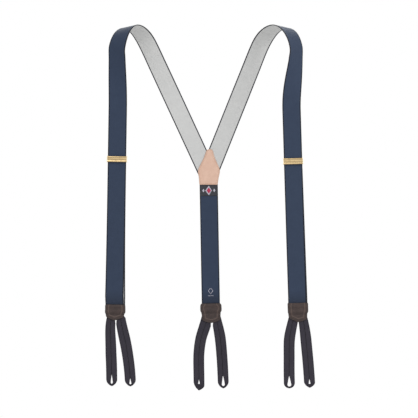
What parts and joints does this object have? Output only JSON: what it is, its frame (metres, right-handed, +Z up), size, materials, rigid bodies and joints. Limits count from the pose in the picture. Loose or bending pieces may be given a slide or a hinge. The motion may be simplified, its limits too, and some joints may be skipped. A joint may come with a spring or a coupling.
{
  "type": "suspenders",
  "caption": "Button-on Y-back suspenders: navy webbing over the shoulders, brass lever adjusters, leather yoke and tabs, braided runners with buttonholes.",
  "frame": {"origin": "centre of the leather yoke's inner face", "axes": "+Z up as worn, -Y out of the yoke's inner face towards the front straps, +X to the viewer's right when the inner face is seen"},
  "size_m": [0.3232, 0.0859, 0.5619],
  "materials": {
    "navy_webbing": "fine ribbed navy webbing with darker selvedges and a pale grey inner face",
    "tan_leather": "smooth pinkish-tan lining leather, lightly grained",
    "brown_leather": "dark brown grained leather with painted edges and tonal stitching",
    "brass": "lacquered brass, brushed along its length",
    "label_weave": "near-black damask weave with a small red and pale geometric motif",
    "cord_braid": "matt charcoal braid with a sewn middle seam"
  },
  "bodies": {
    "root": {"yoke_lining_leather": "tan_leather", "yoke_outer_leather": "brown_leather", "rear_strap": "navy_webbing", "rear_strap_fold": "navy_webbing", "woven_label": "label_weave", "left_shoulder_strap": "navy_webbing", "right_shoulder_strap": "navy_webbing"},
    "left_loop": {"left_strap_loop": "navy_webbing"},
    "left_adjuster": {"left_adjuster_frame": "brass", "left_adjuster_pin": "brass"},
    "left_lever": {"left_adjuster_lever": "brass"},
    "right_loop": {"right_strap_loop": "navy_webbing"},
    "right_adjuster": {"right_adjuster_frame": "brass", "right_adjuster_pin": "brass"},
    "right_lever": {"right_adjuster_lever": "brass"},
    "left_tab": {"left_tab_ring": "brass", "left_tab_front_leather": "brown_leather", "left_tab_back_leather": "brown_leather"},
    "rear_tab": {"rear_tab_ring": "brass", "rear_tab_front_leather": "brown_leather", "rear_tab_back_leather": "brown_leather"},
    "right_tab": {"right_tab_ring": "brass", "right_tab_front_leather": "brown_leather", "right_tab_back_leather": "brown_leather"},
    "left_outer_runner": {"left_outer_runner": "cord_braid"},
    "left_inner_runner": {"left_inner_runner": "cord_braid"},
    "rear_left_runner": {"rear_left_runner": "cord_braid"},
    "rear_right_runner": {"rear_right_runner": "cord_braid"},
    "right_inner_runner": {"right_inner_runner": "cord_braid"},
    "right_outer_runner": {"right_outer_runner": "cord_braid"}
  },
  "joints": [
    {"name": "left_length_slide", "type": "slide", "parent": "root", "child": "left_loop", "axis": [-0.0154, 0, -0.9999], "range_m": [-0.035, 0.06], "deforming": ["left_strap_loop"]},
    {"name": "left_adjuster_slide", "type": "slide", "parent": "left_loop", "child": "left_adjuster", "axis": [-0.0154, 0, -0.9999], "range_m": [-0.035, 0.06]},
    {"name": "left_lever_hinge", "type": "hinge", "parent": "left_adjuster", "child": "left_lever", "pos_m": [-0.1393, -0.07025, 0.0189], "axis": [-0.9999, 0, 0.0154], "range_deg": [0, 100]},
    {"name": "right_length_slide", "type": "slide", "parent": "root", "child": "right_loop", "axis": [0.03, 0, -0.9995], "range_m": [-0.035, 0.06], "deforming": ["right_strap_loop"]},
    {"name": "right_adjuster_slide", "type": "slide", "parent": "right_loop", "child": "right_adjuster", "axis": [0.03, 0, -0.9995], "range_m": [-0.035, 0.06]},
    {"name": "right_lever_hinge", "type": "hinge", "parent": "right_adjuster", "child": "right_lever", "pos_m": [0.12865, -0.07025, 0.0159], "axis": [-0.9995, 0, -0.03], "range_deg": [0, 100]},
    {"name": "left_tab_swing", "type": "hinge", "parent": "left_loop", "child": "left_tab", "pos_m": [-0.1428, -0.06645, -0.209], "axis": [0.9999, 0, -0.0154], "range_deg": [-30, 30]},
    {"name": "rear_tab_swing", "type": "hinge", "parent": "root", "child": "rear_tab", "pos_m": [0.0036, 0.00355, -0.209], "axis": [0.9998, 0, 0.018], "range_deg": [-30, 30], "deforming": ["rear_strap_fold"]},
    {"name": "right_tab_swing", "type": "hinge", "parent": "right_loop", "child": "right_tab", "pos_m": [0.1354, -0.06645, -0.209], "axis": [0.9995, 0, 0.03], "range_deg": [-30, 30]},
    {"name": "left_outer_runner_spread", "type": "hinge", "parent": "left_tab", "child": "left_outer_runner", "pos_m": [-0.15176, -0.06645, -0.22586], "axis": [0, 1, 0], "range_deg": [-3, 14], "stiffness_Nm_per_rad": 0.005},
    {"name": "left_inner_runner_spread", "type": "hinge", "parent": "left_tab", "child": "left_inner_runner", "pos_m": [-0.13436, -0.06645, -0.22613], "axis": [0, -1, 0], "range_deg": [-3, 14], "stiffness_Nm_per_rad": 0.005},
    {"name": "rear_left_runner_spread", "type": "hinge", "parent": "rear_tab", "child": "rear_left_runner", "pos_m": [-0.00479, 0.00355, -0.22615], "axis": [0, 1, 0], "range_deg": [-3, 14], "stiffness_Nm_per_rad": 0.005},
    {"name": "rear_right_runner_spread", "type": "hinge", "parent": "rear_tab", "child": "rear_right_runner", "pos_m": [0.0126, 0.00355, -0.22584], "axis": [0, -1, 0], "range_deg": [-3, 14], "stiffness_Nm_per_rad": 0.005},
    {"name": "right_inner_runner_spread", "type": "hinge", "parent": "right_tab", "child": "right_inner_runner", "pos_m": [0.12721, -0.06645, -0.22625], "axis": [0, 1, 0], "range_deg": [-3, 14], "stiffness_Nm_per_rad": 0.005},
    {"name": "right_outer_runner_spread", "type": "hinge", "parent": "right_tab", "child": "right_outer_runner", "pos_m": [0.14461, -0.06645, -0.22573], "axis": [0, -1, 0], "range_deg": [-3, 14], "stiffness_Nm_per_rad": 0.005}
  ],
  "couplings": [
    {"joint": "left_adjuster_slide", "follows": "left_length_slide", "ratio": 1},
    {"joint": "right_adjuster_slide", "follows": "right_length_slide", "ratio": 1}
  ]
}
